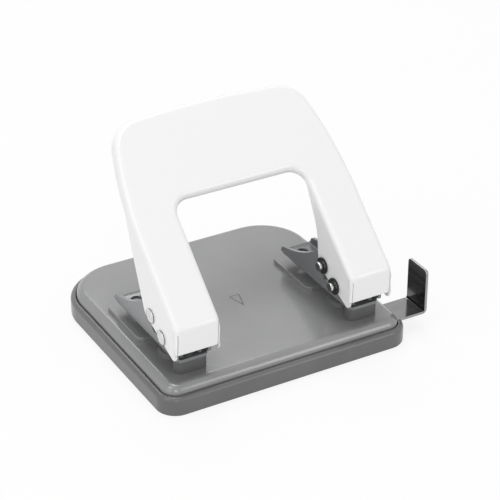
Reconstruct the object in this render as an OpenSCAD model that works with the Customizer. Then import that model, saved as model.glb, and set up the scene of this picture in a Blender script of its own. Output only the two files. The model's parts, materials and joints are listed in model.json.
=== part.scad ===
// Two-hole desk punch: pressed steel base, two riveted brackets, one lever handle.
// Origin under the middle of the chip tray. +Z is up, +X runs along the line of the holes,
// +Y points to the side where the paper goes in. The handle is drawn raised.

/* [Holes] */
// Distance between the two punched holes
hole_spacing = 80; // [76:0.5:84]
// Diameter of a punched hole
hole_d = 6; // [5:0.1:6.5]
// Distance from the paper's edge to the middle of a hole
paper_margin = 11.2; // [11:0.1:12]
// Distance from the tray's front to the line of the holes
hole_inset = 26.9; // [26.7:0.1:27.6]

/* [Chip tray] */
// Length of the tray along X
tray_w = 115; // [114:0.2:130]
// Depth of the tray along Y
tray_d = 107.2; // [106:0.2:120]
// Front corner radius of the tray in plan
tray_front_r = 8.8; // [8.6:0.1:12]
// Back corner radius of the tray in plan
tray_back_r = 24.4; // [20:0.2:28]
// Height of the tray's wall
tray_h = 8.3; // [8:0.1:8.8]
// Thickness of the tray's wall
tray_wall = 2.3; // [1.8:0.1:2.8]
// Thickness of the tray's floor
tray_floor = 1.6; // [1.2:0.1:2]
// Radius on the outer top edge of the tray's wall
tray_lip_r = 1.8; // [1:0.1:1.8]
// Height of the finger ribs on the tray's floor
tray_rib_h = 1; // [0.6:0.1:1.4]
// Width of those ribs
tray_rib_w = 2; // [1.6:0.1:2.4]
// Distance of those ribs from the edge of the base plate
tray_rib_inset = 20; // [16:0.5:24]

/* [Base plate] */
// Height of the working surface above the table
platform_z = 12.2; // [11.9:0.1:13]
// Thickness of the sheet steel
plate_t = 1.2; // [1:0.1:1.4]
// Outside radius of the pressed edge
plate_edge_r = 3.8; // [3:0.1:4]
// Clearance between the plate's skirt and the tray's wall
skirt_gap = 0.3; // [0.2:0.05:0.5]
// Length of the raised pad under a bracket
pad_l = 31; // [29:0.5:32]
// Width of that pad
pad_w = 19; // [18:0.2:19.6]
// Height of the pad and of the die boss
pad_h = 1.8; // [1.6:0.1:2.2]
// Corner radius of the pad in plan
pad_r = 3; // [2.6:0.1:4]
// Distance from the line of the holes to the pad's near end
pad_reach = 12; // [11:0.1:13]
// Foot radius of the die boss
boss_r = 6.8; // [6.6:0.1:7.4]
// Depth of the raised seat under a bracket
seat_d = 5.6; // [5.5:0.1:6]
// Width of the raised seat under a bracket
seat_w = 14.2; // [14.2:0.1:15]

/* [Bracket] */
// Outside width of a bracket
bracket_w = 16; // [15:0.2:16.6]
// Thickness of the bracket's steel
bracket_t = 1.4; // [1.2:0.1:1.5]
// Height of the bracket's underside above the working surface
mouth_h = 5.8; // [5.4:0.1:6.2]
// Distance from the hole's middle to the bracket's mouth
mouth_reach = 38; // [37:0.1:39]
// Radius of the lead-in at the mouth
mouth_r = 10; // [8:0.5:12]
// Angle of the lead-in at the mouth
mouth_angle = 22; // [15:1:26]
// Outside radius of the bend between web and cheek
bracket_bend_r = 2; // [1.8:0.1:2.4]
// Radius of the hollow along a cheek's upper edge
cheek_hollow_r = 67; // [55:1:90]
// Height of a cheek at the mouth
cheek_tip_h = 4.6; // [4.2:0.1:5.2]
// Diameter of the round hole near the mouth
sight_d = 5.2; // [4:0.1:5.6]
// Distance from the mouth's edge to the middle of that hole
sight_inset = 5.5; // [5:0.1:7]
// Diameter of a bracket rivet
rivet_d = 2.4; // [2.2:0.1:2.5]
// Distance between the two rivets of a bracket
rivet_spacing = 8.4; // [8.2:0.1:8.5]
// How far the bracket reaches past the front of its seat
web_lip = 0.6; // [0.4:0.1:1]
// Size of the corners cut off at the front of its web
web_corner = 2.5; // [2:0.1:2.8]
// Distance from the mouth's edge to where a cheek's upper edge starts
tip_inset = 2.6; // [2.4:0.1:3.4]
// Radius of the tip of a cheek
tip_r = 1.8; // [1.2:0.1:2]
// Height of a cheek's crest above the drive pin
crest_h = 4.7; // [4.4:0.1:5]
// Radius behind that crest
crest_r = 4; // [3:0.1:4.4]

/* [Lever pins] */
// Height of the pivot above the working surface
pivot_h = 14.9; // [14.5:0.1:15.4]
// Distance from pivot to drive pin
crank_r = 10.5; // [10.2:0.1:10.8]
// Angle of the drive pin above the horizontal, handle raised
crank_angle = 29.5; // [29:0.5:31]
// Travel of the handle
press_angle = 38; // [34:0.5:39]
// Diameter of the pins
pin_d = 3.8; // [3.4:0.1:4]
// Diameter of a pin's head
pin_head_d = 6.4; // [5.8:0.1:6.8]
// Height of a pin's head
pin_head_h = 1.3; // [1:0.1:1.6]
// Depth of the clip's groove in a pin
groove_depth = 0.4; // [0.3:0.05:0.5]
// How far a pin stands out past its clip
pin_tail = 1.8; // [1:0.1:2]
// Outside diameter of a retaining clip
clip_d = 7.2; // [6.8:0.1:7.4]
// Thickness of a retaining clip
clip_t = 0.8; // [0.6:0.1:1]
// Way that a pivot clip's open side faces, below the line to the mouth
pivot_clip_turn = 45; // [30:5:60]
// Way that a drive clip's open side faces, below the line to the mouth
drive_clip_turn = 10; // [0:5:30]

/* [Handle] */
// Slope of the raised handle's face
lift_angle = 41.5; // [40:0.5:44]
// Thickness of the handle's sheet steel
handle_t = 1; // [0.8:0.1:1.2]
// Outside width of one arm
arm_w = 20.1; // [19.8:0.1:21]
// Length of the face from the front fold to the grip's edge
face_l = 91; // [87:0.5:95]
// Length of the straight part of an arm
arm_l = 38; // [34:0.5:42]
// Distance from the front fold to the grip's inner edge
grip_s = 52; // [50:0.5:54]
// Outside radius of the folded edges
bend_r = 2.6; // [2:0.1:3.2]
// How much rounder the front fold is than the other folds
fold_extra_r = 1; // [0.8:0.1:1.2]
// Depth of the rim round the grip
rim_depth = 5.6; // [5:0.1:6.4]
// Distance from the front fold to where an arm's back edge meets that rim
back_s = 51; // [48:0.5:56]
// Depth of the rim round the opening
opening_rim_depth = 3.6; // [3.4:0.1:4.4]
// Radius of the opening's corners
opening_r = 7; // [5:0.5:9]
// Radius of the grip's outer corners
grip_corner_r = 13; // [10:0.5:16]
// Radius of the sides where they draw in towards the grip
side_r = 170; // [140:10:300]
// Radius of the grip's crowned edge
crown_r = 400; // [300:10:600]
// Length of the front flap
flap_l = 11.9; // [11.2:0.1:12.4]
// Distance from pivot to the flap's outer face
flap_reach = 12; // [11.8:0.1:12.5]
// Angle that the flap leans in at its lower edge
flap_lean = 4; // [2:0.5:6]
// Height of the flap's middle above the pivot
flap_rise = 3.4; // [3:0.1:3.8]
// Gap between the flap and the bracket behind it
flap_gap = 1.3; // [1.1:0.1:1.6]
// Distance from the fold to where the edges beside the flap turn square
square_s = 3; // [2.8:0.1:3.6]
// How far an arm's side reaches below the flap before its nose rounds off
nose_l = 0.5; // [0.3:0.1:0.6]
// How far the nose reaches below the flap, without its rounding
nose_drop = 3.8; // [3.7:0.1:4.2]
// Radius of that nose
nose_r = 2.2; // [1.8:0.1:2.4]
// Depth of an arm at its rear corner
arm_depth = 22.3; // [21.4:0.1:23]
// Distance along the face from the fold to that corner
arm_corner_s = 16; // [15:0.1:17]
// Radius of that corner
arm_corner_r = 5; // [4.4:0.1:5.4]
// How much shallower an arm's inner side is at that corner
inner_rise = 1.2; // [0.6:0.1:1.8]
// Distance along the face from the fold to the bay in an arm's inner side
bay_s = 27; // [25:0.5:29]
// Depth of an arm's inner side at that bay
bay_depth = 10.4; // [9.8:0.1:11]
// Radius of that bay
bay_r = 25; // [20:1:30]

/* [Punch] */
// Diameter of the punch's slotted shank
shank_d = 9.4; // [9:0.1:10]
// Height of the shank above the drive pin's middle
shank_top = 4.2; // [3.6:0.1:4.8]
// Radius of the hollow ground across the cutting end
tip_hollow_r = 5; // [4:0.5:8]

/* [Return spring] */
// Diameter of the spring's wire
wire_d = 0.9; // [0.7:0.05:0.95]
// Middle radius of the spring's coil
coil_r = 3.1; // [2.9:0.1:3.3]
// Distance between neighbouring turns
coil_pitch = 1.4; // [1.36:0.01:1.44]
// Whole turns of the coil
coil_turns = 5; // [4:1:5]

/* [Paper guide] */
// Width of the guide's strip
guide_w = 13.4; // [12.6:0.1:13.8]
// Thickness of the guide's strip
guide_t = 1.2; // [1:0.1:1.4]
// Height of the strip's upper face above the table
guide_z = 8; // [7.9:0.1:8.2]
// Distance from the strip's middle line to the line of the holes
guide_offset = 12.5; // [12.2:0.1:13]
// Reach of the upright tab beyond the tray's side
guide_reach = 11.5; // [8:0.1:14]
// Height of the tab above the strip
tab_h = 19.5; // [15:0.5:24]
// How far the guide pulls out
guide_travel = 72; // [60:1:73]
// Length of the block that carries the strip
block_l = 14; // [10:0.5:16]
// Thickness of that block beside the strip
block_wall = 1; // [0.8:0.1:1.2]
// Thickness of that block under the strip
block_floor = 1.2; // [1:0.1:1.4]
// Inside radius of the bend below the tab
tab_bend_r = 0.8; // [0.6:0.1:1.2]
// Radius of the tab's upper corners
tab_corner_r = 1.8; // [1:0.1:3]

/* [Clearances] */
// Radial running clearance of pins, punches and dies
run_gap = 0.05; // [0.02:0.01:0.08]
// Side gap between neighbouring moving pieces
side_gap = 0.12; // [0.1:0.01:0.2]
// Gap round the sliding guide strip
slide_gap = 0.2; // [0.15:0.01:0.3]
// Gap round the drive pin where it passes through a slot
slot_gap = 0.4; // [0.3:0.05:0.5]

/* [Hidden] */
$fn = 64;
cut = 0.01;
far = 200;

// Places worked out from the driving sizes
hole_x = hole_spacing / 2;
hole_y = hole_inset - tray_d / 2;
web_z = platform_z + mouth_h;
web_top = web_z + bracket_t;
stop_y = hole_y - paper_margin;
pad_y = hole_y + pad_reach;
seat_y = stop_y - seat_d / 2;
front_y = stop_y - seat_d - web_lip;
mouth_y = hole_y + mouth_reach;
pivot_z = platform_z + pivot_h;
crank_side = crank_r * (1 + cos(crank_angle)) / 2;
pivot_y = hole_y - crank_side;
drive_y = pivot_y + crank_r * cos(crank_angle);
drive_z = pivot_z + crank_r * sin(crank_angle);
press_stroke = crank_r * (sin(crank_angle) - sin(crank_angle - press_angle));
skirt_inset = tray_wall + skirt_gap;
plate_w = tray_w - 2 * skirt_inset;
plate_d = tray_d - 2 * skirt_inset;
plate_front_r = tray_front_r - skirt_inset;
plate_back_r = tray_back_r - skirt_inset;
plate_under = platform_z - plate_t;
cheek_x = bracket_w / 2;
arm_x = arm_w / 2;
side_x = hole_x + arm_x;
opening_x = hole_x - arm_x;
guide_y = hole_y - guide_offset;
guide_under = guide_z - guide_t;
tab_x = tray_w / 2 + guide_reach;

// The front fold lies where the face and the flap's outer face meet
flap_dir = [sin(flap_lean), -cos(flap_lean)];
flap_mid = [pivot_y - flap_reach, pivot_z + flap_rise];
fold_y = flap_mid[0] - flap_dir[0] * flap_l / 2;
fold_z = flap_mid[1] - flap_dir[1] * flap_l / 2;

// Points of an arc round c
function arc(c, r, from, to, n = 8) =
    [for (i = [0:n]) c + r * [cos(from + (to - from) * i / n), sin(from + (to - from) * i / n)]];

// Outline with its corners rounded: each corner is [x, y, radius]
function unit(v) = v / norm(v);
function fillet(p, a, b, n = 6) =
    let(u = unit([a[0] - p[0], a[1] - p[1]]),
        v = unit([b[0] - p[0], b[1] - p[1]]),
        half = acos(u * v) / 2,
        m = unit(u + v),
        c = [p[0], p[1]] + m * p[2] / sin(half),
        sweep = 90 - half,
        mid = atan2(-m[1], -m[0]),
        turn = u[0] * v[1] - u[1] * v[0] > 0 ? -1 : 1)
    arc(c, p[2], mid - turn * sweep, mid + turn * sweep, n);
function rounded(pts) =
    let(n = len(pts))
    [for (i = [0:n - 1])
        each pts[i][2] > 0 ? fillet(pts[i], pts[(i + n - 1) % n], pts[(i + 1) % n])
                           : [[pts[i][0], pts[i][1]]]];

// Centre of the circle of radius r through a and b, on the left of the way from a to b
function centre_left(a, b, r) =
    let(m = (a + b) / 2, h = norm(b - a) / 2, u = unit(b - a))
    m + [-u[1], u[0]] * sqrt(r * r - h * h);

// Where circles round p and q cross, on the left of the way from p to q
function cross_left(p, rp, q, rq) =
    let(d = norm(q - p), u = (q - p) / d, a = (d * d + rp * rp - rq * rq) / (2 * d))
    p + u * a + [-u[1], u[0]] * sqrt(rp * rp - a * a);

module obround(l, w) {
    square([l - w, w], center = true);
    for (x = [-1, 1]) translate([x * (l - w) / 2, 0]) circle(d = w);
}

// Rectangle with round corners: front radius rf, back radius rb
module round_rect(w, d, rf, rb) {
    translate([rb - w / 2, -d / 2]) square([w - 2 * rb, d]);
    translate([rf - w / 2, -d / 2]) square([w - 2 * rf, d - rb]);
    translate([-w / 2, rf - d / 2]) square([w, d - rf - rb]);
    for (x = [-1, 1]) {
        translate([x * (w / 2 - rf), rf - d / 2]) circle(rf);
        translate([x * (w / 2 - rb), d / 2 - rb]) circle(rb);
    }
}

// Section of a folded edge: the outer side is x = 0 and the upper side is y = 0
module edge_section(t, r, depth) {
    intersection() {
        translate([-r, -r]) difference() { circle(r); circle(r - t); }
        translate([-r, -r]) square(r);
    }
    if (depth > r) translate([-t, -depth]) square([t, depth - r + cut]);
}

// Carries a section round such a rectangle
module round_loop(w, d, rf, rb) {
    for (side = [0, 1]) mirror([side, 0, 0]) {
        translate([w / 2, d / 2 - rb, 0]) rotate([90, 0, 0]) linear_extrude(d - rf - rb) children();
        translate([w / 2 - rb, d / 2 - rb, 0]) rotate_extrude(angle = 90) translate([rb, 0]) children();
        translate([w / 2 - rf, rf - d / 2, 0]) rotate([0, 0, -90])
            rotate_extrude(angle = 90) translate([rf, 0]) children();
    }
    rotate([0, 0, 90]) translate([d / 2, w / 2 - rb, 0]) rotate([90, 0, 0]) linear_extrude(w - 2 * rb) children();
    rotate([0, 0, -90]) translate([d / 2, w / 2 - rf, 0]) rotate([90, 0, 0]) linear_extrude(w - 2 * rf) children();
}

// Closed skin over a row of rings that have the same even number of points
module skin(rings) {
    n = len(rings[0]);
    last = (len(rings) - 1) * n;
    walls = [for (i = [0:len(rings) - 2], k = [0:n - 1])
        let(a = i * n + k, b = i * n + (k + 1) % n)
        each [[a, a + n, b], [b, a + n, b + n]]];
    ends = [for (k = [0:n / 2 - 2])
        each [[k, k + 1, n - 2 - k], [k, n - 2 - k, n - 1 - k],
              [last + k, last + n - 2 - k, last + k + 1], [last + k, last + n - 1 - k, last + n - 2 - k]]];
    polyhedron([for (r = rings) each r], concat(walls, ends));
}

module at_each_hole() {
    for (side = [-1, 1]) translate([side * hole_x, 0, 0]) children();
}

// Draws the right-hand piece, or its mirror image on the left
module on_side(side) {
    if (side > 0) translate([hole_x, 0, 0]) children();
    else mirror([1, 0, 0]) translate([hole_x, 0, 0]) children();
}

// Cylinder along X with its middle at y, z
module cross_bar(r, y, z, l) {
    translate([-l / 2, y, z]) rotate([0, 90, 0]) cylinder(r = r, h = l);
}

// A flat shape given in Y and Z, made thick along X
module side_plate(x, t) {
    translate([x, 0, 0]) rotate([90, 0, 90]) linear_extrude(t) children();
}

// Base plate
// A raised place starts inside the sheet, and its hollow below it
function plate_foot(inset) = plate_under + (inset > 0 ? -cut : cut);

module die_boss(inset) {
    foot = plate_foot(inset);
    translate([0, hole_y, 0]) {
        translate([0, 0, foot]) cylinder(r = boss_r - inset, h = platform_z + cut - foot);
        translate([0, 0, platform_z])
            cylinder(r1 = boss_r - inset, r2 = boss_r - inset - pad_h / 2, h = pad_h - inset);
    }
}

module paper_pad(inset) {
    foot = plate_foot(inset);
    translate([0, pad_y + pad_l / 2, foot]) linear_extrude(platform_z + pad_h - inset - foot)
        round_rect(pad_w - 2 * inset, pad_l - 2 * inset, pad_r - inset, pad_r - inset);
}

module bracket_seat(inset) {
    foot = plate_foot(inset);
    translate([0, seat_y, foot])
        linear_extrude(web_z - inset - foot) obround(seat_w - 2 * inset, seat_d - 2 * inset);
}

module rivet_places() {
    for (x = [-1, 1]) translate([x * rivet_spacing / 2, seat_y, 0]) children();
}

module base_plate() {
    color("dimgray") difference() {
        union() {
            translate([0, 0, plate_under]) linear_extrude(plate_t)
                round_rect(plate_w - 2 * plate_edge_r, plate_d - 2 * plate_edge_r,
                           plate_front_r - plate_edge_r, plate_back_r - plate_edge_r);
            translate([0, 0, platform_z]) round_loop(plate_w, plate_d, plate_front_r, plate_back_r)
                edge_section(plate_t, plate_edge_r, platform_z - tray_floor);
            at_each_hole() {
                paper_pad(0);
                die_boss(0);
                bracket_seat(0);
            }
        }
        at_each_hole() {
            paper_pad(plate_t);
            die_boss(plate_t);
            bracket_seat(plate_t);
            translate([0, hole_y, plate_under]) cylinder(d = hole_d + 4 * run_gap, h = far);
            rivet_places() cylinder(d = rivet_d, h = far);
        }
        translate([plate_w / 2 - plate_t - plate_edge_r, guide_y - guide_w / 2 - slide_gap,
                   guide_under - slide_gap])
            cube([2 * plate_edge_r + plate_t, guide_w + 2 * slide_gap, guide_t + 2 * slide_gap]);
    }
}

// Chip tray
module tray_section() {
    polygon(rounded([[-tray_wall, 0, 0], [0, 0, 0.8], [0, tray_h, tray_lip_r], [-tray_wall, tray_h, 0.3]]));
}

module chip_tray() {
    rib_run = plate_w / 2 - tray_rib_inset;
    color("gray") difference() {
        union() {
            linear_extrude(tray_floor) round_rect(tray_w - 2 * tray_wall + cut, tray_d - 2 * tray_wall + cut,
                                                  tray_front_r - tray_wall, tray_back_r - tray_wall);
            round_loop(tray_w, tray_d, tray_front_r, tray_back_r) tray_section();
            for (x = [-1:1]) translate([x * rib_run, 0, tray_floor - cut])
                linear_extrude(tray_rib_h + cut) rotate([0, 0, 90]) obround(plate_d - 2 * tray_rib_inset, tray_rib_w);
        }
        translate([tray_w / 2 - tray_front_r, guide_y - guide_w / 2 - slide_gap, guide_under - slide_gap])
            cube([tray_front_r + 1, guide_w + 2 * slide_gap, tray_h]);
    }
}

// Paper guide and the block that carries it
block_w = guide_w + 2 * block_wall;
block_x = plate_w / 2 - plate_front_r - block_l;
module guide_block() {
    color("black") difference() {
        translate([block_x, guide_y - block_w / 2, guide_under - slide_gap - block_floor])
            cube([block_l, block_w, plate_under - guide_under + slide_gap + block_floor]);
        translate([block_x - 1, guide_y - guide_w / 2 - slide_gap, guide_under - slide_gap])
            cube([block_l + 2, guide_w + 2 * slide_gap, guide_t + 2 * slide_gap]);
    }
}

strip_stop_h = 1.6;
strip_x = block_x - guide_travel - guide_t - slide_gap;
module paper_guide() {
    outer_r = guide_t + tab_bend_r;
    color("#202022") {
        intersection() {
            translate([0, guide_y + guide_w / 2, 0]) rotate([90, 0, 0]) linear_extrude(guide_w)
                polygon(rounded([
                    [strip_x, guide_under, 0.4],
                    [tab_x + guide_t, guide_under, outer_r],
                    [tab_x + guide_t, guide_z + tab_h, 0.4],
                    [tab_x, guide_z + tab_h, 0.4],
                    [tab_x, guide_z, tab_bend_r],
                    [strip_x + guide_t, guide_z, 0],
                    [strip_x + guide_t, guide_z + strip_stop_h, 0.4],
                    [strip_x, guide_z + strip_stop_h, 0.4]]));
            side_plate(strip_x - 1, tab_x - strip_x + 10) polygon(rounded([
                [guide_y - guide_w / 2, guide_under - 1, 0],
                [guide_y + guide_w / 2, guide_under - 1, 0],
                [guide_y + guide_w / 2, guide_z + tab_h, tab_corner_r],
                [guide_y - guide_w / 2, guide_z + tab_h, tab_corner_r]]));
        }
    }
}

// Bracket: a channel bent up at its mouth, cut to its side outline
module channel_section() {
    r = bracket_bend_r;
    inner_r = r - bracket_t;
    h = mouth_r - 1;
    difference() {
        union() {
            translate([-cheek_x + r, 0]) square([bracket_w - 2 * r, h]);
            translate([-cheek_x, r]) square([bracket_w, h - r]);
            for (x = [-1, 1]) translate([x * (cheek_x - r), r]) circle(r);
        }
        translate([-cheek_x + r, bracket_t]) square([bracket_w - 2 * r, h]);
        translate([-cheek_x + bracket_t, r]) square([bracket_w - 2 * bracket_t, h]);
        for (x = [-1, 1]) translate([x * (cheek_x - r), r]) circle(inner_r);
    }
}

module bracket_blank() {
    bend_y = mouth_y - mouth_r * sin(mouth_angle);
    translate([0, bend_y, web_z]) rotate([90, 0, 0]) linear_extrude(bend_y - front_y) channel_section();
    for (x = [-cheek_x, cheek_x - bracket_t])
        translate([x, front_y, web_z + mouth_r - 1 - cut]) cube([bracket_t, bend_y - front_y, pivot_h]);
    translate([0, bend_y, web_z + mouth_r]) rotate([0, 90, 0])
        rotate_extrude(angle = mouth_angle) translate([mouth_r, 0]) rotate([0, 0, 90]) channel_section();
}

module bracket_outline() {
    tip = [mouth_y - tip_inset, web_z + cheek_tip_h];
    crest = [drive_y + crest_r * 0.4, drive_z + crest_h - crest_r];
    rise = crest + crest_r * [1.47, 0.63];
    c = centre_left(rise, tip, cheek_hollow_r);
    a0 = atan2(tip[1] - c[1], tip[0] - c[0]);
    a1 = atan2(rise[1] - c[1], rise[0] - c[0]);
    tip_c = tip + tip_r * [cos(a0), sin(a0)];
    bracket_nose_r = flap_reach - handle_t - flap_gap;
    pivot = [pivot_y, pivot_z];
    polygon(concat(
        [[front_y, web_z - 1], [mouth_y + 1, web_z - 1], [mouth_y + 1, web_z + 2]],
        arc(tip_c, tip_r, 0, a0 + 180),
        arc(c, cheek_hollow_r, a0, a1, 16),
        arc(crest, crest_r, 35, 90),
        arc(pivot, bracket_nose_r, 100, 200, 16),
        [[front_y, web_top]]));
}

module drive_slot() {
    r = pin_d / 2 + slot_gap;
    for (a = [crank_angle, crank_angle - press_angle])
        cross_bar(r, pivot_y + crank_r * cos(a), pivot_z + crank_r * sin(a), far);
    translate([-far / 2, pivot_y, pivot_z]) rotate([90, 0, 90]) rotate([0, 0, crank_angle - press_angle])
        rotate_extrude(angle = press_angle) translate([crank_r - r, 0]) square([2 * r, far]);
}

module bracket() {
    color("darkgray") difference() {
        intersection() {
            bracket_blank();
            side_plate(-far / 2, far) bracket_outline();
        }
        translate([0, hole_y, web_z - 1]) cylinder(d = hole_d + 2 * run_gap, h = bracket_t + 2);
        translate([0, mouth_y - sight_inset, web_z - 1]) cylinder(d = sight_d, h = 4);
        cross_bar(pin_d / 2 + run_gap / 2, pivot_y, pivot_z, far);
        drive_slot();
        rivet_places() translate([0, 0, web_z - 1]) cylinder(d = rivet_d, h = bracket_t + 2);
        for (x = [-1, 1]) translate([x * cheek_x, front_y, web_z - 1]) rotate([0, 0, 45])
            cube([web_corner * sqrt(2), web_corner * sqrt(2), 2 * (bracket_t + 1.6)], center = true);
    }
}

module bracket_rivets() {
    head = rivet_d * 0.75;
    low_head = seat_d / 2 - plate_t - side_gap;
    head_h = 1;
    head_taper = 0.6;
    color("silver") rivet_places() {
        translate([0, 0, web_z - plate_t]) cylinder(d = rivet_d, h = bracket_t + plate_t);
        translate([0, 0, web_top]) cylinder(r1 = head, r2 = head - head_taper, h = head_h);
        translate([0, 0, web_z - plate_t - head_h]) cylinder(r = low_head, h = head_h);
    }
}

// Pins: the head lies outside the arm, the clip inside
clip_x = arm_x + side_gap;
pin_end = clip_x + clip_t + pin_tail;
groove_r = pin_d / 2 - groove_depth;
module pin_at(y, z) {
    dome_h = 0.7 * pin_head_h;
    dome_r = (pow(pin_head_d / 2, 2) + pow(dome_h, 2)) / (2 * dome_h);
    color("silver") translate([0, y, z]) rotate([0, 90, 0]) {
        translate([0, 0, -pin_end]) cylinder(d = pin_d, h = pin_end - clip_x - clip_t);
        translate([0, 0, -clip_x - clip_t]) cylinder(r = groove_r, h = clip_t);
        translate([0, 0, -clip_x]) cylinder(d = pin_d, h = clip_x + arm_x + side_gap);
        translate([0, 0, arm_x + side_gap]) intersection() {
            cylinder(d = pin_head_d, h = pin_head_h);
            translate([0, 0, pin_head_h - dome_r]) sphere(dome_r, $fn = 96);
        }
    }
}

module clip_at(y, z, turn) {
    slot_w = 2 * groove_r - groove_depth;
    color("#2a2a2c") translate([-clip_x - clip_t, y, z]) rotate([0, 90, 0]) difference() {
        cylinder(d = clip_d, h = clip_t);
        translate([0, 0, -1]) cylinder(r = groove_r + run_gap, h = clip_t + 2);
        rotate([0, 0, 90 - turn]) translate([0, -slot_w / 2, -1]) cube([clip_d, slot_w, clip_t + 2]);
    }
}

// Punch: a cutting rod under a slotted shank
module punch() {
    slot_y = 2 * (crank_r - crank_side) + pin_d + slot_gap;
    slot_z = pin_d + 2 * slot_gap - 0.1;
    shank_low = web_top + press_stroke + slot_gap;
    top = drive_z + shank_top;
    edge = 0.8;
    color("lightgray") difference() {
        translate([0, hole_y, 0]) rotate_extrude() polygon([
            [0, web_z], [hole_d / 2, web_z], [hole_d / 2, shank_low], [shank_d / 2, shank_low],
            [shank_d / 2, top - edge], [shank_d / 2 - edge, top], [0, top]]);
        translate([-far / 2, hole_y, drive_z]) rotate([90, 0, 90]) linear_extrude(far)
            obround(slot_y, slot_z);
        cross_bar(tip_hollow_r, hole_y, web_z + 1.2 - tip_hollow_r, far);
    }
}

// Handle, in its own frame: y runs up the face from the front fold, z is outwards
module in_handle() {
    translate([0, fold_y, fold_z]) rotate([lift_angle, 0, 0]) children();
}

side_c = [side_x - side_r, arm_l];
crown_c = [0, face_l - crown_r];
corner_c = cross_left(side_c, side_r - grip_corner_r, crown_c, crown_r - grip_corner_r);
corner_a0 = atan2(corner_c[1] - side_c[1], corner_c[0] - side_c[0]);
corner_a1 = atan2(corner_c[1] - crown_c[1], corner_c[0] - crown_c[0]);
fold_r = bend_r + fold_extra_r;
fold_bend = 90 - lift_angle + flap_lean;
fold_s = fold_r * tan(fold_bend / 2);
opening_c = [opening_x - opening_r, grip_s - opening_r];

// Depth of an arm's back edge at a place along the face
function back_depth(s) =
    max(rim_depth, arm_depth + (rim_depth - arm_depth) * (s - arm_corner_s) / (back_s - arm_corner_s));

// Middle line of the sheet's outer face, seen from the side, as [place, normal]:
// up the flap, round the fold and up the arm
flap_way = [-sin(lift_angle - flap_lean), -cos(lift_angle - flap_lean)];
fold_steps = 5;
arm_steps = 14;
function arm_way(end) = concat(
    [for (s = [flap_l, square_s + bend_r / 2, square_s, fold_s]) [flap_way * s, [flap_way[1], -flap_way[0]]]],
    [for (k = [1:fold_steps]) let(a = 90 + fold_bend * (1 - k / fold_steps), n = [cos(a), sin(a)])
        [[fold_s, -fold_r] + fold_r * n, n]],
    [for (k = [1:arm_steps]) [[fold_s + (end - fold_s) * k / arm_steps, 0], [0, 1]]]);

// Lower edge of an arm's outer and inner side, from the nose to the end of the arm
nose_start = flap_way * (flap_l + nose_l);
nose_tip = flap_way * (flap_l + nose_drop);
nose = [nose_tip[0], nose_tip[1], nose_r];
outer_corner = [arm_corner_s, -arm_depth, arm_corner_r];
inner_corner = [arm_corner_s - inner_rise / 2, inner_rise - arm_depth, arm_corner_r - 1];
outer_end = [arm_l, -back_depth(arm_l)];
inner_bay = [bay_s, -bay_depth, bay_r];
inner_end = [opening_c[1], -opening_rim_depth];
outer_turn = fillet(outer_corner, nose, outer_end);
outer_low = concat([nose_start], fillet(nose, nose_start, outer_corner), outer_turn,
    [for (k = [1:8]) outer_turn[6] + (outer_end - outer_turn[6]) * k / 8]);
inner_low = concat([nose_start], fillet(nose, nose_start, inner_corner),
    fillet(inner_corner, nose, inner_bay), fillet(inner_bay, inner_corner, inner_end), [inner_end]);

// Outline of the grip and of the opening from the end of the arm to the middle, as [place, outward way]
function turn_steps(c, r, from, to, n, way) =
    [for (k = [1:n]) let(a = from + (to - from) * k / n, u = [cos(a), sin(a)]) [c + r * u, way * u]];
outer_way = concat(turn_steps(side_c, side_r, 0, corner_a0, 6, 1),
    turn_steps(corner_c, grip_corner_r, corner_a0, corner_a1, 8, 1),
    turn_steps(crown_c, crown_r, corner_a1, 90, 6, 1));
inner_way = concat(turn_steps(opening_c, opening_r, 0, 90, 10, -1),
    [for (k = [1:10]) [[opening_c[0] * (1 - k / 10), grip_s], [0, -1]]]);

// Section of the sheet between its inner edge i and its outer edge o. Each edge is
// [corner, way outwards, lower end]; n is the face's normal.
bend_steps = 4;
square_r = 1;
inner_square_r = 0.6;
function bend_at(k) = k < 2 ? square_r : k == 2 ? (square_r + bend_r) / 2 : bend_r;
function edge_arc(e, n, inset, r) =
    let(c = e[0] - (e[1] + n) * inset)
    [for (k = [0:bend_steps]) let(a = 90 * k / bend_steps) c + r * (e[1] * cos(a) + n * sin(a))];
function flipped(v) = [for (k = [len(v) - 1:-1:0]) v[k]];
function sheet_ring(i, o, n, outer_r = bend_r) =
    let(r = max(outer_r - handle_t, inner_square_r), d = r + handle_t)
    concat([i[2]], edge_arc(i, n, outer_r, outer_r), flipped(edge_arc(o, n, outer_r, outer_r)), [o[2]],
           [o[2] - o[1] * handle_t], edge_arc(o, n, d, r), flipped(edge_arc(i, n, d, r)),
           [i[2] - i[1] * handle_t]);

outer_arm = arm_way(arm_l);
inner_arm = arm_way(opening_c[1]);
function at_side(x, p) = [x, p[0], p[1]];
arm_rings = [for (k = [0:len(outer_arm) - 1])
    sheet_ring(
        [at_side(opening_x, inner_arm[k][0]), [-1, 0, 0], at_side(opening_x, inner_low[k])],
        [at_side(side_x, outer_arm[k][0]), [1, 0, 0], at_side(side_x, outer_low[k])],
        at_side(0, outer_arm[k][1]), bend_at(k))];
grip_rings = [for (k = [0:len(outer_way) - 1])
    let(i = inner_way[k], o = outer_way[k])
    sheet_ring(
        [[i[0][0], i[0][1], 0], [i[1][0], i[1][1], 0], [i[0][0], i[0][1], -opening_rim_depth]],
        [[o[0][0], o[0][1], 0], [o[1][0], o[1][1], 0], [o[0][0], o[0][1], -back_depth(o[0][1])]],
        [0, 0, 1])];
right_rings = concat(arm_rings, grip_rings);
left_rings = [for (k = [len(right_rings) - 2:-1:0]) [for (p = right_rings[k]) [-p[0], p[1], p[2]]]];

module handle() {
    color("white") difference() {
        in_handle() skin(concat(right_rings, left_rings));
        cross_bar(pin_d / 2 + run_gap, pivot_y, pivot_z, far);
        cross_bar(pin_d / 2 + run_gap, drive_y, drive_z, far);
    }
}

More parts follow.
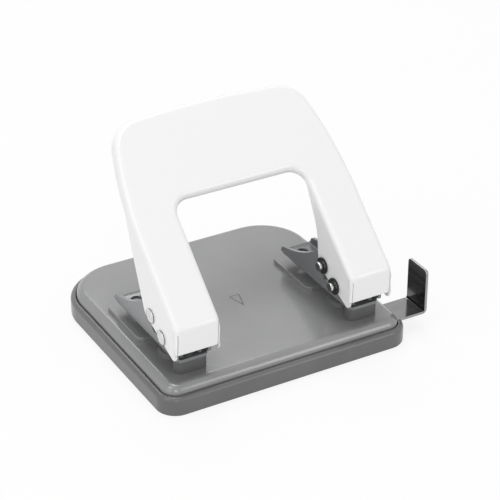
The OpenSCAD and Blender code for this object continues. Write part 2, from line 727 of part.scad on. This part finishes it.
// Return spring: one leg stands on the web, the coil turns round the pivot pin,
// the other leg lies under the drive pin
coil_steps = 8;
leg_x = cheek_x - bracket_t - 0.75 - wire_d / 2;
leg_z = drive_z - pin_d / 2 - side_gap - wire_d / 2;
coil_span = coil_turns + 0.25;
function coil_point(k) =
    let(turn = k / coil_steps, a = 180 - 360 * turn)
    [leg_x - coil_pitch * (coil_span - turn), pivot_y + coil_r * cos(a), pivot_z + coil_r * sin(a)];
coil_points = [for (k = [0:coil_steps * coil_span]) coil_point(k)];
coil_first = coil_points[0];
coil_last = coil_points[len(coil_points) - 1];
spring_path = concat(
    [[coil_first[0], coil_first[1], web_top], [coil_first[0], coil_first[1], web_top + wire_d]],
    coil_points,
    [[leg_x, drive_y - 1, leg_z], [leg_x, drive_y + 3, leg_z]]);

function along(path, i) = unit(path[min(i + 1, len(path) - 1)] - path[max(i - 1, 0)]);
function ring(path, i, r, sides) =
    let(d = i == 0 ? [0, 0, 1] : along(path, i),
        flat = [1, 0, 0] - d * d[0],
        u = unit(flat),
        v = cross(d, u))
    [for (k = [0:sides - 1]) path[i] + r * (u * cos(360 * k / sides) + v * sin(360 * k / sides))];

spring_gap = min([for (i = [0:len(spring_path) - 1], j = [i + coil_steps - 2:1:len(spring_path) - 1])
    norm(spring_path[i] - spring_path[j])]) - wire_d;
echo(spring_gap = spring_gap, press_stroke = press_stroke, punch_ratio = press_stroke / (press_angle * PI / 180));
echo(pivot = [pivot_y, pivot_z], drive = [drive_y, drive_z], fold = [fold_y, fold_z], hole = hole_y);

module return_spring() {
    color("silver") skin([for (i = [0:len(spring_path) - 1]) ring(spring_path, i, wire_d / 2, 6)]);
}

base_plate();
chip_tray();
guide_block();
paper_guide();
on_side(-1) bracket();  // left_bracket
on_side(1) bracket();  // right_bracket
on_side(-1) bracket_rivets();  // left_bracket_rivets
on_side(1) bracket_rivets();  // right_bracket_rivets
handle();
on_side(-1) pin_at(pivot_y, pivot_z);  // left_pivot_pin
on_side(1) pin_at(pivot_y, pivot_z);  // right_pivot_pin
on_side(-1) pin_at(drive_y, drive_z);  // left_drive_pin
on_side(1) pin_at(drive_y, drive_z);  // right_drive_pin
on_side(-1) clip_at(pivot_y, pivot_z, pivot_clip_turn);  // left_pivot_clip
on_side(1) clip_at(pivot_y, pivot_z, pivot_clip_turn);  // right_pivot_clip
on_side(-1) clip_at(drive_y, drive_z, drive_clip_turn);  // left_drive_clip
on_side(1) clip_at(drive_y, drive_z, drive_clip_turn);  // right_drive_clip
on_side(-1) punch();  // left_punch
on_side(1) punch();  // right_punch
on_side(-1) return_spring();  // left_return_spring
on_side(1) return_spring();  // right_return_spring
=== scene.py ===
import json
import math

import bmesh
import bpy
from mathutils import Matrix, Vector

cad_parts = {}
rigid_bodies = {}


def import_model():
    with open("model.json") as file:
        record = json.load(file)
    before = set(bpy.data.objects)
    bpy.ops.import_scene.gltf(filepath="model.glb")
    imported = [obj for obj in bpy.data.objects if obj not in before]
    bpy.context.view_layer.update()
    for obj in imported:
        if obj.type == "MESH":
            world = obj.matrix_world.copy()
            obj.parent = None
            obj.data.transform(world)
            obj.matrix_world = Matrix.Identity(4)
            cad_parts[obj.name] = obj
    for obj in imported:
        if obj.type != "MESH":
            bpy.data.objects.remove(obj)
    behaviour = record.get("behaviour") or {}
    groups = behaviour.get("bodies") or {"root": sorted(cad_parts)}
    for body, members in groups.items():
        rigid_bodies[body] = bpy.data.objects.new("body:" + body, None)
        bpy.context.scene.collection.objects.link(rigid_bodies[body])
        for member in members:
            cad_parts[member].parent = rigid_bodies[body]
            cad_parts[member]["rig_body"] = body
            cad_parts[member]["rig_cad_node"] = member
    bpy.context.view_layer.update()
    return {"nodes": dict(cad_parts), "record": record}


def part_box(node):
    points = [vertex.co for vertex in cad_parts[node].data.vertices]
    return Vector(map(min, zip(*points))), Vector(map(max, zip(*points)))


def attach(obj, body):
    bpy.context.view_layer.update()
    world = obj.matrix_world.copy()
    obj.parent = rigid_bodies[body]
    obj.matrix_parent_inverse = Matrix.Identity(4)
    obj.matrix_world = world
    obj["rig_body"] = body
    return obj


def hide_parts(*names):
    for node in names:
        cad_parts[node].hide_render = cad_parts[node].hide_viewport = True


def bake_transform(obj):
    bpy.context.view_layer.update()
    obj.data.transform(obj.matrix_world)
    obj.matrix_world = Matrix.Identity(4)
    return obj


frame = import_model()
mm = 0.001
print("frame: %d nodes" % len(frame["nodes"]))


# shader helpers: a wrapped socket, so that maths on values reads as plain maths
class Wire:
    def __init__(self, shade, socket):
        self.shade, self.socket = shade, socket

    def calc(self, kind, a, b):
        return self.shade.node("ShaderNodeMath", {"operation": kind}, {0: a, 1: b})

    def __mul__(self, b):
        return self.calc("MULTIPLY", self, b)

    def __rmul__(self, a):
        return self.calc("MULTIPLY", a, self)


class Shade:
    def __init__(self, name):
        self.mat = bpy.data.materials.new(name)
        self.mat.use_nodes = True
        self.tree = self.mat.node_tree
        self.tree.nodes.clear()
        self.out = self.tree.nodes.new("ShaderNodeOutputMaterial")

    def plug(self, socket, value):
        if isinstance(value, Wire):
            self.tree.links.new(value.socket, socket)
        elif value is not None:
            socket.default_value = value

    # any node: its type, its settings, its sockets, and which output comes back
    def node(self, kind, settings=None, sockets=None, output=0):
        made = self.tree.nodes.new(kind)
        for key, value in (settings or {}).items():
            setattr(made, key, value)
        for key, value in (sockets or {}).items():
            self.plug(made.inputs[key], value)
        return Wire(self, made.outputs[output])

    def place(self, scale):
        at = self.node("ShaderNodeTexCoord", output="Object")
        return self.node("ShaderNodeMapping", {}, {"Vector": at, "Scale": scale})

    def noise(self, size, detail=2.0, rough=0.5, scale=(1, 1, 1)):
        return self.node("ShaderNodeTexNoise", {}, {
            "Vector": self.place(scale), "Scale": 1 / size, "Detail": detail, "Roughness": rough})

    def mixColour(self, factor, a, b):
        return self.node("ShaderNodeMix", {"data_type": "RGBA"}, {0: factor, 6: a, 7: b}, 2)

    # stretches the middle of a noise over a range
    def spread(self, value, low=0.0, high=1.0):
        return self.node("ShaderNodeMapRange", {}, {0: value, 1: 0.3, 2: 0.7, 3: low, 4: high})

    def bump(self, height, depth):
        return self.node("ShaderNodeBump", {}, {"Strength": 1.0, "Distance": depth, "Height": height})

    def finish(self, **sockets):
        names = {key.replace("_", " "): value for key, value in sockets.items()}
        shader = self.node("ShaderNodeBsdfPrincipled", {}, names)
        self.plug(self.out.inputs["Surface"], shader)
        return self.mat


def grey(level, warm=0.0):
    return (level * (1 + warm), level, level * (1 - warm), 1)


# white enamel on the handle: a faint orange peel and slightly uneven gloss
whiteEnamel = {"tone": 0.9, "thin": 0.895, "patch": 24 * mm, "gloss": (0.23, 0.26), "glossPatch": 30 * mm,
               "peel": 0.9 * mm, "peelDepth": 0.0015 * mm, "coat": 0.3, "coatGloss": 0.12}


def makeWhiteEnamel(w):
    s = Shade("whiteEnamel")
    wide = s.noise(w["patch"], 3)
    return s.finish(
        Base_Color=s.mixColour(s.spread(wide), grey(w["thin"]), grey(w["tone"])),
        Roughness=s.spread(s.noise(w["glossPatch"], 2), *w["gloss"]),
        Normal=s.bump(s.noise(w["peel"], 1), w["peelDepth"]),
        Coat_Weight=w["coat"], Coat_Roughness=w["coatGloss"])


# grey stoved paint of base plate and brackets
greyStove = {"tone": 0.268, "thin": 0.245, "patch": 18 * mm, "gloss": (0.2, 0.26), "grain": 0.45 * mm,
             "grainDepth": 0.002 * mm, "blue": -0.008, "metal": 0.15, "coat": 0.3, "coatGloss": 0.1}


def makeGreyStove(name, g):
    s = Shade(name)
    wide = s.noise(g["patch"], 4)
    fine = s.noise(g["grain"], 2)
    thin, tone = grey(g["thin"], g["blue"]), grey(g["tone"], g["blue"])
    return s.finish(
        Base_Color=s.mixColour(s.spread(wide), thin, tone),
        Roughness=s.spread(fine, *g["gloss"]),
        Normal=s.bump(fine, g["grainDepth"]),
        Metallic=g["metal"], Coat_Weight=g["coat"], Coat_Roughness=g["coatGloss"])


# moulded plastic of the tray and of the guide's block
trayPlastic = {"tone": 0.145, "thin": 0.13, "patch": 15 * mm, "gloss": (0.21, 0.27), "grain": 0.35 * mm,
               "grainDepth": 0.003 * mm}
blackPlastic = {"tone": 0.03, "thin": 0.022, "patch": 15 * mm, "gloss": (0.42, 0.55), "grain": 0.4 * mm,
                "grainDepth": 0.01 * mm}


def makePlastic(name, p):
    s = Shade(name)
    fine = s.noise(p["grain"], 3)
    return s.finish(
        Base_Color=s.mixColour(s.spread(s.noise(p["patch"])), grey(p["thin"]), grey(p["tone"])),
        Roughness=s.spread(fine, *p["gloss"]),
        Normal=s.bump(fine, p["grainDepth"]))


# bare metals: bright turned heads, ground punches, drawn wire, sheared edges
nickel = {"tone": 0.74, "gloss": (0.12, 0.2), "lines": (1, 1, 1), "size": 1.2 * mm, "depth": 0.001 * mm}
groundSteel = {"tone": 0.55, "gloss": (0.2, 0.27), "lines": (1, 1, 14), "size": 1.5 * mm,
               "depth": 0.004 * mm}
drawnWire = {"tone": 0.5, "gloss": (0.2, 0.27), "lines": (4, 1, 1), "size": 1.0 * mm, "depth": 0.002 * mm}
shearedEdge = {"tone": 0.36, "gloss": (0.32, 0.42), "lines": (6, 6, 1), "size": 0.8 * mm,
               "depth": 0.004 * mm}
metalStreak = {"dark": 0.85, "warm": 0.01}


def makeMetal(name, m):
    s = Shade(name)
    streak = s.noise(m["size"], 3, 0.6, m["lines"])
    dark, bright = grey(metalStreak["dark"] * m["tone"]), grey(m["tone"], metalStreak["warm"])
    return s.finish(
        Base_Color=s.mixColour(s.spread(streak), dark, bright),
        Roughness=s.spread(streak, *m["gloss"]),
        Normal=s.bump(streak, m["depth"]),
        Metallic=1.0)


# mirror-black plating of the guide, black oxide of the clips
blackPlate = {"tone": 0.125, "dull": 0.9, "gloss": (0.1, 0.15), "metal": 1.0, "shine": 0.5, "size": 3 * mm,
              "depth": 0.001 * mm}
blackOxide = dict(blackPlate, tone=0.006, gloss=(0.2, 0.26), metal=0.0, shine=0.35, size=0.8 * mm)


def makeBlackSteel(name, b):
    s = Shade(name)
    cloud = s.noise(b["size"], 3)
    return s.finish(
        Base_Color=s.mixColour(s.spread(cloud), grey(b["dull"] * b["tone"]), grey(b["tone"])),
        Roughness=s.spread(cloud, *b["gloss"]),
        Normal=s.bump(cloud, b["depth"]),
        Metallic=b["metal"], Specular_IOR_Level=b["shine"])


finishes = {
    "white_paint": makeWhiteEnamel(whiteEnamel),
    "grey_paint": makeGreyStove("greyStove", greyStove),
    "bracket_paint": makeGreyStove("bracketStove", dict(greyStove, tone=0.2, thin=0.18, blue=-0.03)),
    "grey_plastic": makePlastic("trayPlastic", trayPlastic),
    "black_plastic": makePlastic("blackPlastic", blackPlastic),
    "bright_steel": makeMetal("nickel", nickel),
    "ground_steel": makeMetal("groundSteel", groundSteel),
    "spring_steel": makeMetal("drawnWire", drawnWire),
    "black_steel": makeBlackSteel("blackPlate", blackPlate),
}
# finishes of single faces and of small hardware, and darker or lighter copies that paint shade or a reflection
# onto single faces
clipFinish = makeBlackSteel("blackOxide", blackOxide)
edgeFinish = makeMetal("shearedEdge", shearedEdge)
markFinish = makeGreyStove("markShade", dict(greyStove, tone=0.09, thin=0.08, gloss=(0.5, 0.6), coat=0.0))
# bracket seat and die boss walls: darker paint as painted shade
seatPaintedShade = makeGreyStove("paintedShadeSeat", dict(greyStove, tone=0.12, thin=0.105, gloss=(0.5, 0.62), coat=0.0))
pinEndFinish = makeMetal("pinEnd", dict(nickel, tone=0.16, gloss=(0.2, 0.26)))
# pin head rims: darker metal as painted shade
pinRimPaintedShade = makeMetal("paintedShadePinRim", dict(nickel, tone=0.1, gloss=(0.2, 0.26)))
# guide's inner bend: darker plating as painted shade
bendPaintedShade = makeBlackSteel("paintedShadeBend", dict(blackPlate, tone=0.02, gloss=(0.2, 0.26)))
# guide's strip: lighter plating as a painted reflection
stripPaintedReflection = makeBlackSteel("paintedReflectionStrip", dict(blackPlate, tone=0.28))
rivetFinish = makeMetal("duskRivet", dict(groundSteel, tone=0.12, gloss=(0.4, 0.55)))
print("finishes: %d" % len(bpy.data.materials))

slotOf = {row["node"]: row["material_slot"] for row in frame["record"]["subparts"]}
bodyOf = {node: body for body, nodes in frame["record"]["behaviour"]["bodies"].items() for node in nodes}
for node, piece in frame["nodes"].items():
    finish = finishes[slotOf[node]]
    if node.endswith("_clip"):
        finish = clipFinish
    elif node.endswith("_rivets"):
        finish = rivetFinish
    piece.data.materials.clear()
    piece.data.materials.append(finish)


def middleOf(node):
    low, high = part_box(node)
    return [(a + b) / 2 for a, b in zip(low, high)]


def deselect():
    if bpy.context.mode != "OBJECT":
        bpy.ops.object.mode_set(mode="OBJECT")
    bpy.ops.object.select_all(action="DESELECT")


# rounds a piece's outer edges, and its inner corners where they are wanted too
def soften(piece, width, inner=False, clamp=False, angle=30):
    mesh = bmesh.new()
    mesh.from_mesh(piece.data)
    weight = mesh.edges.layers.float.new("bevel_weight_edge")
    for edge in mesh.edges:
        turn = edge.calc_face_angle_signed(0)
        if turn > math.radians(angle) or (inner and -turn > math.radians(angle)):
            edge[weight] = 1
    mesh.to_mesh(piece.data)
    mesh.free()
    bpy.context.view_layer.objects.active = piece
    bevel = piece.modifiers.new("edge", "BEVEL")
    bevel.width, bevel.segments = width, 2
    bevel.limit_method, bevel.use_clamp_overlap = "WEIGHT", clamp
    bpy.ops.object.modifier_apply(modifier="edge")


def smoothFaces(piece, angle=35):
    deselect()
    bpy.context.view_layer.objects.active = piece
    piece.select_set(True)
    bpy.ops.object.shade_smooth_by_angle(angle=math.radians(angle))
    normals = piece.modifiers.new("normals", "WEIGHTED_NORMAL")
    normals.keep_sharp = True
    bpy.ops.object.modifier_apply(modifier="normals")


# a finished copy of a node: its triangles are joined, its edges softened
joined = {"merge": 0.002 * mm, "flat": math.radians(0.5)}


def dress(node, name, width, inner=False, clamp=False):
    deselect()
    source = frame["nodes"][node]
    source.select_set(True)
    bpy.context.view_layer.objects.active = source
    bpy.ops.object.duplicate()
    piece = bpy.context.active_object
    piece.name = piece.data.name = name
    piece.parent = None
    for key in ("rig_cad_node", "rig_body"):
        del piece[key]
    bpy.ops.object.mode_set(mode="EDIT")
    bpy.ops.mesh.select_all(action="SELECT")
    bpy.ops.mesh.remove_doubles(threshold=joined["merge"])
    bpy.ops.mesh.dissolve_limited(angle_limit=joined["flat"])
    bpy.ops.object.mode_set(mode="OBJECT")
    soften(piece, width, inner, clamp)
    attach(piece, bodyOf[node])
    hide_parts(node)
    return piece


dressed = {
    "handle": {"name": "leverHandle", "width": 0.25 * mm, "inner": True},
    "base_plate": {"name": "steelBase", "width": 0.2 * mm},
    "chip_tray": {"name": "chipTray", "width": 0.3 * mm},
    "left_bracket": {"name": "leftBracket", "width": 0.18 * mm, "clamp": True},
    "right_bracket": {"name": "rightBracket", "width": 0.18 * mm, "clamp": True},
    "paper_guide": {"name": "paperGuide", "width": 0.12 * mm},
    "left_punch": {"name": "leftPunch", "width": 0.1 * mm},
    "right_punch": {"name": "rightPunch", "width": 0.1 * mm},
}
for side in ("left", "right"):
    for part in ("pivot", "drive"):
        for kind, width in (("pin", 0.15 * mm), ("clip", 0.12 * mm)):
            name = side + part.title() + kind.title()
            dressed["%s_%s_%s" % (side, part, kind)] = {"name": name, "width": width}
made = {}
for node, shape in dressed.items():
    made[node] = dress(node, **shape)
    print("%s: %d faces" % (shape["name"], len(made[node].data.polygons)))


# slits left and right of each front flap, sawn through the sheet with thin slabs, in mm and degrees
flapSlit = {"fold": (-48.93, 36.44), "lean": 4.0, "from": 2.3, "to": 14.0, "wide": 0.3, "deep": 2.4,
            "sides": (31.0, 49.1)}


def sawSlits(handle, f):
    deselect()
    lean = math.radians(f["lean"])
    middle = (f["from"] + f["to"]) / 2
    at = (f["fold"][0] + middle * math.sin(lean), f["fold"][1] - middle * math.cos(lean))
    slab = (f["wide"] * mm, f["deep"] * mm, (f["to"] - f["from"]) * mm)
    armX = middleOf("right_bracket")[0] / mm
    slabs = []
    for x in f["sides"]:
        inward = f["wide"] / 2 if x < armX else -f["wide"] / 2
        for way in (-1, 1):
            place = (way * (x + inward) * mm, at[0] * mm, at[1] * mm)
            bpy.ops.mesh.primitive_cube_add(size=1, location=place, rotation=(lean, 0, 0), scale=slab)
            slabs.append(bpy.context.active_object)
    for piece in slabs:
        piece.select_set(True)
    bpy.ops.object.join()
    saw = bpy.context.active_object
    bpy.ops.object.transform_apply(location=True, rotation=True, scale=True)
    deselect()
    bpy.context.view_layer.objects.active = handle
    handle.select_set(True)
    cut = handle.modifiers.new("slits", "BOOLEAN")
    cut.operation, cut.object, cut.solver = "DIFFERENCE", saw, "MANIFOLD"
    bpy.ops.object.modifier_apply(modifier="slits")
    bpy.data.objects.remove(saw)
    print("slits: %d faces" % len(handle.data.polygons))


sawSlits(made["handle"], flapSlit)
for piece in made.values():
    smoothFaces(piece)


# faces that have a finish of their own, or painted shade or a painted reflection
def refinish(piece, finish, chosen):
    piece.data.materials.append(finish)
    for face in piece.data.polygons:
        if chosen(face.center / mm, face.normal):
            face.material_index = len(piece.data.materials) - 1


# the guide's sheared edges are bare; its strip is lighter than the tab as a painted reflection; its inner bend
# is darker as painted shade
guide = {"top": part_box("paper_guide")[1][2] / mm, "rim": 1, "tab": 5, "side": 0.75, "upper": 0.6, "flat": 0.97,
         "turned": 0.1}


def isGuideEdge(at, way):
    return abs(way.y) > guide["side"] or (way.z > guide["upper"] and at.z > guide["top"] - guide["rim"])


def isGuideStrip(at, way):
    return way.z > guide["flat"] and at.z < guide["top"] - guide["tab"]


def isGuideBend(at, way):
    turned = way.x < -guide["turned"] and guide["turned"] < way.z < guide["flat"]
    return turned and at.z < guide["top"] - guide["tab"]


refinish(made["paper_guide"], edgeFinish, isGuideEdge)
refinish(made["paper_guide"], stripPaintedReflection, isGuideStrip)
refinish(made["paper_guide"], bendPaintedShade, isGuideBend)

# walls of the bracket seats and of the die bosses get painted shade: a darker paint stands in for the shadow
# under the brackets and arms
plate = {"top": 12.2, "clear": 0.2, "web": 17.9, "seat": (-45.0, -37.0), "seatHalf": 9, "hole": (40.0, -26.7),
         "boss": 7.2, "steep": 0.85}


def isPaintedShadeWall(at, way):
    across = abs(at.x) - plate["hole"][0]
    alongSeat = plate["seat"][0] < at.y < plate["seat"][1]
    onSeat = abs(across) < plate["seatHalf"] and alongSeat and at.z < plate["web"]
    onBoss = math.hypot(across, at.y - plate["hole"][1]) < plate["boss"]
    isWall = at.z > plate["top"] + plate["clear"] and abs(way.z) < plate["steep"]
    return isWall and (onSeat or onBoss)


refinish(made["base_plate"], seatPaintedShade, isPaintedShadeWall)

# turned pins: rims darkened as painted shade, standing in for the shadow gap at the head; dark cut ends
pin = {"head": 1.2, "round": 0.3, "tail": 0.1, "flat": 0.9}
for node, piece in made.items():
    if node.endswith("_pin"):
        ends = [corner[0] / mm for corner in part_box(node)]
        headEnd, tailEnd = ends if node.startswith("left") else reversed(ends)
        refinish(piece, pinRimPaintedShade,
                 lambda at, way: abs(at.x - headEnd) < pin["head"] and abs(way.x) < pin["round"])
        refinish(piece, pinEndFinish,
                 lambda at, way: abs(at.x - tailEnd) < pin["tail"] and abs(way.x) > pin["flat"])

# return springs: one wire wound with the screw tool, its two legs pulled out of the ends, in mm
spring = {"wire": 0.45, "coil": 3.1, "pitch": 1.4, "turns": 5.25, "leg": 5.4, "sides": 10, "steps": 24,
          "near": 1.3, "drop": 0.4, "short": 2, "tip": 5, "still": 3.6, "smooth": 50}


def pullEnd(piece, near, by):
    bpy.ops.object.mode_set(mode="EDIT")
    bpy.ops.mesh.select_all(action="DESELECT")
    bpy.ops.object.mode_set(mode="OBJECT")
    for corner in piece.data.vertices:
        corner.select = (piece.matrix_world @ corner.co - near).length < spring["near"] * spring["wire"] * mm
    bpy.ops.object.mode_set(mode="EDIT")
    for step in by:
        bpy.ops.mesh.extrude_region_move(TRANSFORM_OT_translate={"value": step})
    bpy.ops.mesh.edge_face_add()
    bpy.ops.object.mode_set(mode="OBJECT")


def windSpring(side, w):
    deselect()
    way = 1 if side == "right" else -1
    pivot, drive = middleOf("right_pivot_pin"), middleOf("right_drive_pin")
    holeX = middleOf("right_bracket")[0]
    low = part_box("right_return_spring")[0][2]
    startX = holeX + (w["leg"] - w["pitch"] * w["turns"]) * mm
    bpy.ops.mesh.primitive_circle_add(vertices=w["sides"], radius=w["wire"] * mm,
                                      location=(startX, pivot[1], pivot[2]))
    piece = bpy.context.active_object
    piece.name = piece.data.name = side + "Spring"
    bpy.ops.object.mode_set(mode="EDIT")
    bpy.ops.mesh.select_all(action="SELECT")
    bpy.ops.transform.translate(value=(0, -w["coil"] * mm, 0))
    bpy.ops.object.mode_set(mode="OBJECT")
    coil = piece.modifiers.new("coil", "SCREW")
    coil.axis, coil.angle = "X", -2 * math.pi * w["turns"]
    coil.screw_offset = w["pitch"] * w["turns"] * mm
    coil.steps = coil.render_steps = int(w["steps"] * w["turns"])
    coil.use_normal_calculate = False
    bpy.ops.object.modifier_apply(modifier="coil")
    start = Vector((startX, pivot[1] - w["coil"] * mm, pivot[2]))
    end = Vector((holeX + w["leg"] * mm, pivot[1], pivot[2] + w["coil"] * mm))
    reach = drive[1] - pivot[1] - w["short"] * mm
    pullEnd(piece, start, [(0, 0, low - pivot[2])])
    pullEnd(piece, end, [(0, reach, -w["drop"] * mm), (0, w["tip"] * mm, 0)])
    bpy.ops.object.transform_apply(location=True, rotation=True, scale=True)
    bpy.ops.object.mode_set(mode="EDIT")
    bpy.ops.mesh.select_all(action="SELECT")
    if way < 0:
        bpy.ops.transform.resize(value=(-1, 1, 1), center_override=(0, 0, 0))
    bpy.ops.mesh.normals_make_consistent(inside=False)
    bpy.ops.object.mode_set(mode="OBJECT")
    bpy.ops.object.shade_smooth_by_angle(angle=math.radians(w["smooth"]))
    piece.data.materials.append(finishes["spring_steel"])
    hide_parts(side + "_return_spring")
    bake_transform(piece)
    print("%s: %d faces" % (piece.name, len(piece.data.polygons)))


for side in ("left", "right"):
    windSpring(side, spring)

# triangle that marks the middle of the paper, in mm
mark = {"at": (2.05, -5.7), "wide": 5.2, "long": 9.2, "corner": 0.7, "line": 0.42, "high": 0.02,
        "top": plate["top"]}


def pressMark(m):
    deselect()
    bpy.ops.mesh.primitive_circle_add(vertices=3, radius=1, fill_type="NGON", rotation=(0, 0, math.pi),
                                      location=(0, 0, 0))
    piece = bpy.context.active_object
    piece.name = piece.data.name = "centreMark"
    bpy.ops.object.transform_apply(location=True, rotation=True, scale=True)
    bpy.ops.object.mode_set(mode="EDIT")
    bpy.ops.mesh.select_all(action="SELECT")
    # a three-sided circle of radius 1 is root 3 wide and 1.5 long
    bpy.ops.transform.resize(value=(m["wide"] * mm / math.sqrt(3), m["long"] * mm / 1.5, 1),
                             center_override=(0, 0, 0))
    bpy.ops.transform.translate(value=(m["at"][0] * mm, (m["at"][1] + m["long"] / 6) * mm,
                                       (m["top"] + m["high"]) * mm))
    bpy.ops.mesh.bevel(offset=m["corner"] * mm, segments=4, affect="VERTICES")
    bpy.ops.mesh.select_all(action="SELECT")
    bpy.ops.mesh.inset(thickness=m["line"] * mm)
    bpy.ops.mesh.delete(type="FACE")
    bpy.ops.object.mode_set(mode="OBJECT")
    piece.data.materials.append(markFinish)
    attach(piece, "base")
    print("centreMark: %d faces" % len(piece.data.polygons))


pressMark(mark)

# camera at the photograph's place
view = {"from": (-0.32929, -0.59976, 0.43010), "at": (0.00536, -0.00924, 0.03751), "lens": 136.393}
camData = bpy.data.cameras.new("camera")
camData.lens, camData.sensor_width = view["lens"], 36
camera = bpy.data.objects.new("camera", camData)
bpy.context.scene.collection.objects.link(camera)
camera.location = view["from"]
camera.rotation_euler = (Vector(view["at"]) - Vector(view["from"])).to_track_quat("-Z", "Y").to_euler()
bpy.context.scene.camera = camera

# floor and studio light
studio = {"floor": 3.0, "pale": 0.9, "world": 0.48, "seen": 1.0, "bleach": 0.85}
deselect()
bpy.ops.mesh.primitive_plane_add(size=studio["floor"], location=(0, 0, 0))
floor = bpy.context.active_object
floor.name = "floor"


# the eye and mirror-like reflections see plain white, soft light comes from the studio's own level
def seenDirectly(tree):
    path = tree.nodes.new("ShaderNodeLightPath")
    most = None
    for ray in ("Is Camera Ray", "Is Glossy Ray", "Is Transmission Ray"):
        if most is None:
            most = path.outputs[ray]
            continue
        larger = tree.nodes.new("ShaderNodeMath")
        larger.operation = "MAXIMUM"
        tree.links.new(most, larger.inputs[0])
        tree.links.new(path.outputs[ray], larger.inputs[1])
        most = larger.outputs[0]
    return most


def makeFloor():
    s = Shade("paleFloor")
    seen = Wire(s, seenDirectly(s.tree))
    diffuse = s.node("ShaderNodeBsdfDiffuse", {}, {"Color": grey(studio["pale"])})
    white = s.node("ShaderNodeEmission", {}, {"Color": grey(1.0), "Strength": 1.0})
    mixed = s.node("ShaderNodeMixShader", {}, {0: seen * studio["bleach"], 1: diffuse, 2: white})
    s.plug(s.out.inputs["Surface"], mixed)
    return s.mat


floor.data.materials.append(makeFloor())

world = bpy.data.worlds.new("studio")
bpy.context.scene.world = world
world.use_nodes = True
back = world.node_tree.nodes["Background"]
back.inputs["Color"].default_value = (1, 1, 1, 1)
lift = world.node_tree.nodes.new("ShaderNodeMapRange")
world.node_tree.links.new(seenDirectly(world.node_tree), lift.inputs[0])
lift.inputs[3].default_value = studio["world"]
lift.inputs[4].default_value = studio["seen"]
world.node_tree.links.new(lift.outputs[0], back.inputs["Strength"])

lamps = {
    "top": {"at": (0, 0.1, 1.2), "size": (0.6, 0.6), "power": 3.9},
    "backKey": {"at": (0.25, 0.75, 0.95), "size": (0.5, 0.5), "power": 3.1},
    "frontLow": {"at": (-0.45, -1.05, 0.42), "size": (0.25, 0.5), "power": 1.5},
    "frontRight": {"at": (0.55, -1.05, 0.4), "size": (0.25, 0.6), "power": 1.35},
    "leftLow": {"at": (-1.1, -0.3, 0.35), "size": (0.8, 0.8), "power": 1.3},
    "leftHigh": {"at": (-0.75, -0.15, 0.85), "size": (0.5, 0.5), "power": 1.5},
}
for name, lamp in lamps.items():
    data = bpy.data.lights.new(name, "AREA")
    data.shape, data.energy = "RECTANGLE", lamp["power"]
    data.size, data.size_y = lamp["size"]
    light = bpy.data.objects.new(name, data)
    bpy.context.scene.collection.objects.link(light)
    light.location = lamp["at"]
    light.rotation_euler = (-Vector(lamp["at"])).to_track_quat("-Z", "Y").to_euler()
print("lamps: %d" % len(lamps))

bpy.context.scene.view_settings.view_transform = "Standard"
